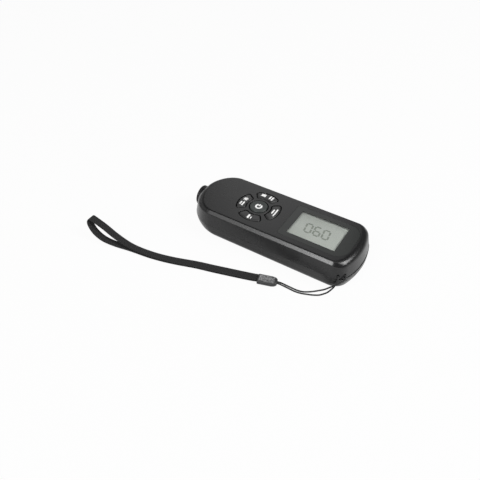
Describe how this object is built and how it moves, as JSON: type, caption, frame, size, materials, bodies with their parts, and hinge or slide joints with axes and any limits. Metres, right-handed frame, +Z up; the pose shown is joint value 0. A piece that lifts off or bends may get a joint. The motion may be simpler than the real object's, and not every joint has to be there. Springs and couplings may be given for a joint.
{
  "type": "coating thickness gauge",
  "caption": "Handheld coating thickness gauge with a spring-loaded nose probe, a ring keypad, a display at the far end and a wrist strap.",
  "frame": {"origin": "on the surface that the underside rests on, midway between the measuring tip and the display end and midway across", "axes": "+X from the probe nose to the display end, +Y to the side away from the lanyard corner, +Z up out of the key face"},
  "size_m": [0.1687, 0.09, 0.0204],
  "materials": {
    "housing": "fine satin texture",
    "door": "fine satin texture",
    "window": "glossy, dark border",
    "lcd": "grey-green display",
    "light_guide": "white moulded",
    "elastomer": "striped elastomer",
    "board": "solder-masked",
    "black_component": "moulded",
    "switch_can": "stamped",
    "power_key": "satin",
    "petal_key": "satin",
    "screw": "zinc plated",
    "collar": "black anodised look",
    "nut": "turned",
    "probe_steel": "ground",
    "winding": "enamelled copper wire",
    "spring_wire": "wire",
    "cell": "plain wrapped can",
    "contact": "nickel plated",
    "cord": "braided cord",
    "slider": "moulded",
    "webbing": "woven webbing"
  },
  "bodies": {
    "housing": {"top_shell": "housing", "bottom_shell": "housing", "display_window": "window", "lcd_glass": "lcd", "lcd_frame": "light_guide", "zebra_strip": "elastomer", "main_board": "board", "controller_chip": "black_component", "buzzer": "black_component", "key_switches": "switch_can", "board_screws": "screw", "housing_screws": "screw", "probe_collar": "collar", "collar_nut": "nut", "probe_spring": "spring_wire", "cell_near": "cell", "cell_far": "cell", "battery_springs": "contact", "battery_plates": "contact", "lanyard_cord": "cord", "strap_slider": "slider", "strap_webbing": "webbing"},
    "power_key": {"power_key": "power_key"},
    "nose_key": {"nose_key": "petal_key"},
    "far_key": {"far_key": "petal_key"},
    "display_key": {"display_key": "petal_key"},
    "near_key": {"near_key": "petal_key"},
    "probe": {"probe_sleeve": "probe_steel", "probe_core": "probe_steel", "probe_coil": "winding"},
    "battery_door": {"battery_door": "door"}
  },
  "joints": [
    {"name": "power_key_press", "type": "slide", "parent": "housing", "child": "power_key", "axis": [0, 0, -1], "range_m": [0, 0.0006], "stiffness_N_per_m": 1500},
    {"name": "nose_key_press", "type": "slide", "parent": "housing", "child": "nose_key", "axis": [0, 0, -1], "range_m": [0, 0.0006], "stiffness_N_per_m": 1500},
    {"name": "far_key_press", "type": "slide", "parent": "housing", "child": "far_key", "axis": [0, 0, -1], "range_m": [0, 0.0006], "stiffness_N_per_m": 1500},
    {"name": "display_key_press", "type": "slide", "parent": "housing", "child": "display_key", "axis": [0, 0, -1], "range_m": [0, 0.0006], "stiffness_N_per_m": 1500},
    {"name": "near_key_press", "type": "slide", "parent": "housing", "child": "near_key", "axis": [0, 0, -1], "range_m": [0, 0.0006], "stiffness_N_per_m": 1500},
    {"name": "probe_press", "type": "slide", "parent": "housing", "child": "probe", "axis": [1, 0, 0], "range_m": [0, 0.0015], "stiffness_N_per_m": 800, "springref_m": -0.002, "deforming": ["probe_spring"]},
    {"name": "battery_door_lift", "type": "slide", "parent": "housing", "child": "battery_door", "axis": [0, 0, -1], "range_m": [0, 0.008]}
  ]
}
